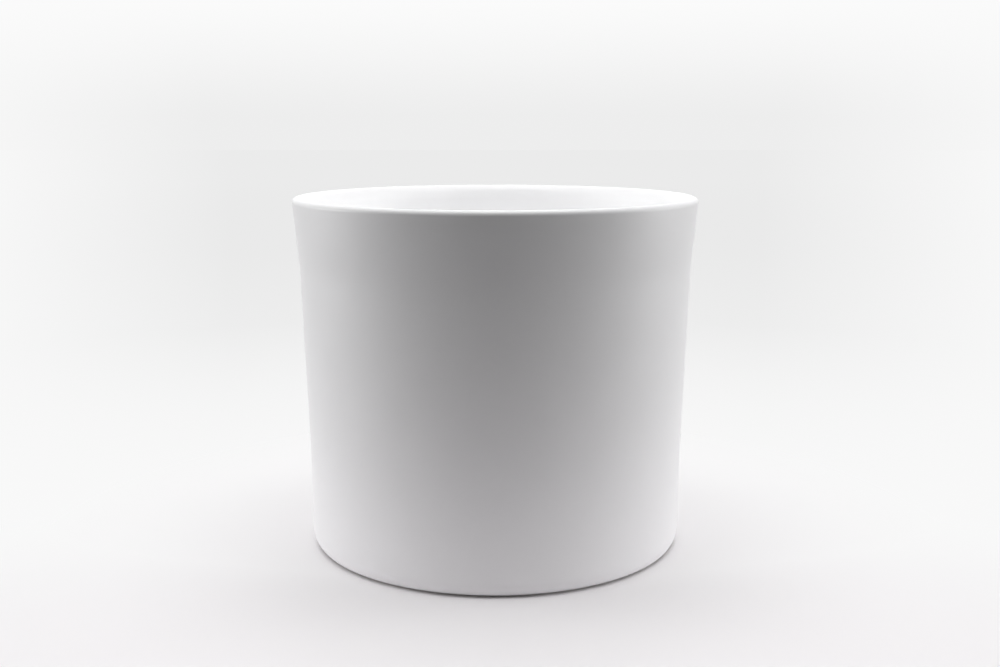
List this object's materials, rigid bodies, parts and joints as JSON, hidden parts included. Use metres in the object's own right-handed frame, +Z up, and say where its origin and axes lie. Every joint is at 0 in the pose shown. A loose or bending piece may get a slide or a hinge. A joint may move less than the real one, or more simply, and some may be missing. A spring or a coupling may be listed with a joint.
{
  "type": "cachepot",
  "caption": "Round cachepot with a nearly upright wall that flares above a soft shoulder line, closed flat floor, round lip and ground foot ring on thin pads.",
  "frame": {"origin": "on the pot's axis, at the surface that its pads stand on", "axes": "+Z up along the pot's axis, from the pads to the rim; X and Y lie in the standing surface, with the pads at 45 degrees between them"},
  "size_m": [0.22, 0.22, 0.1915],
  "materials": {
    "glaze": "satin matt white glaze over a cast white body",
    "pad": "closed-cell foam rubber, matt"
  },
  "bodies": {
    "root": {"pot_body": "glaze", "foot_pad_1": "pad", "foot_pad_2": "pad", "foot_pad_3": "pad", "foot_pad_4": "pad"}
  },
  "joints": []
}
